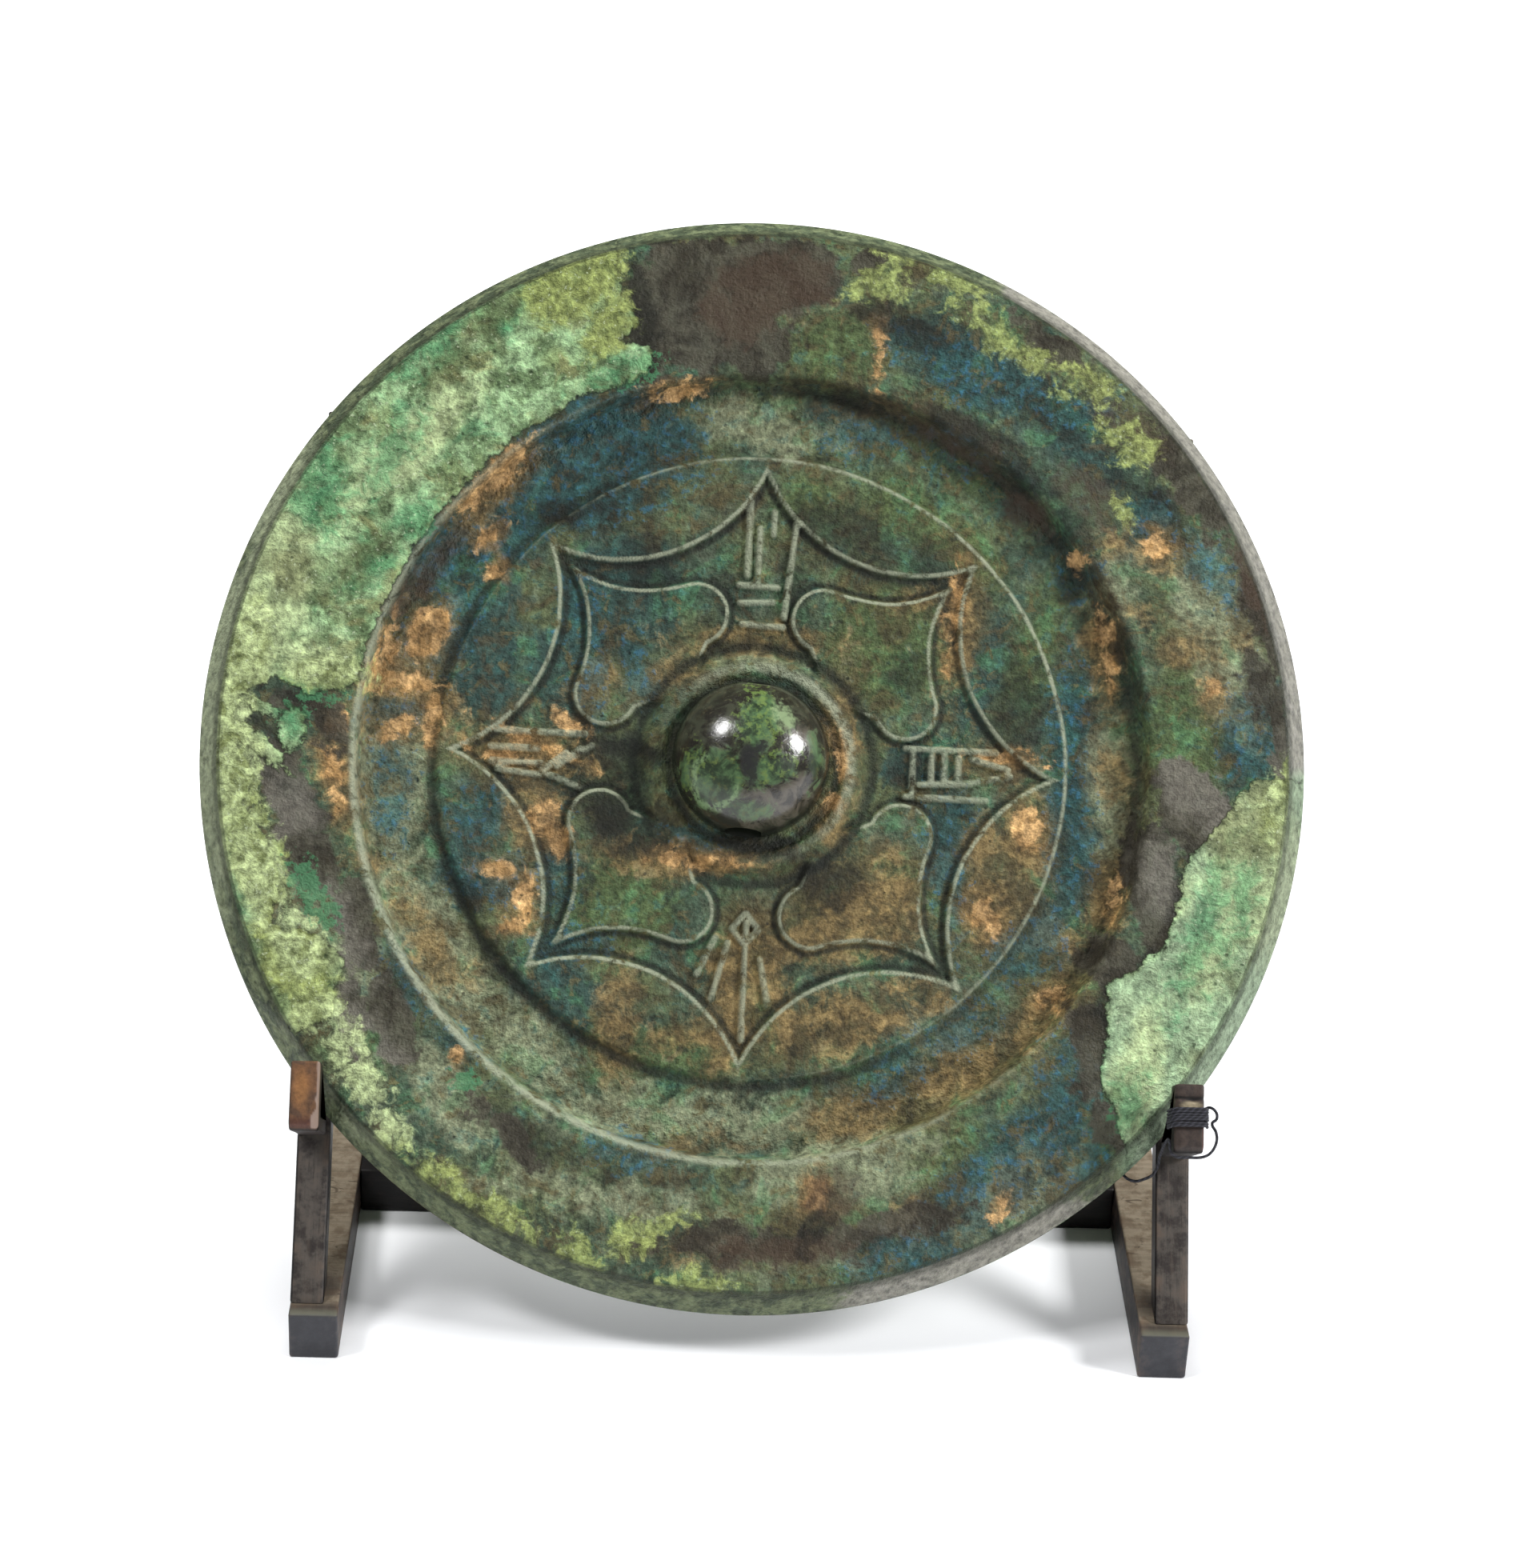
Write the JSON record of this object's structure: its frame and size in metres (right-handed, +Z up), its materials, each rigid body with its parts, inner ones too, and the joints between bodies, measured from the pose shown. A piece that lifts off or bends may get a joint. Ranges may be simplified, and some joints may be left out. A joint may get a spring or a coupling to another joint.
{
  "type": "bronze mirror on a wooden cradle",
  "caption": "Round cast bronze mirror with a domed boss and a star pattern, leaning back on a small dark wooden cradle.",
  "frame": {"origin": "on the floor, at the middle of the object's outline seen from above", "axes": "+X across the cradle, +Y from its feet to its back, +Z up"},
  "size_m": [0.19, 0.118, 0.1634],
  "materials": {
    "bronze": "green and brown patina, matt",
    "dark_wood": "dark stain, satin",
    "lip_wood": "worn end grain, matt",
    "thread": "matt"
  },
  "bodies": {
    "root": {"bronze_mirror": "bronze", "left_rail": "dark_wood", "right_rail": "dark_wood", "left_upright": "dark_wood", "right_upright": "dark_wood", "left_brace": "dark_wood", "right_brace": "dark_wood", "crossbar": "dark_wood", "left_lip": "lip_wood", "right_lip": "lip_wood", "thread_winding": "thread", "thread_free": "thread"}
  },
  "joints": []
}
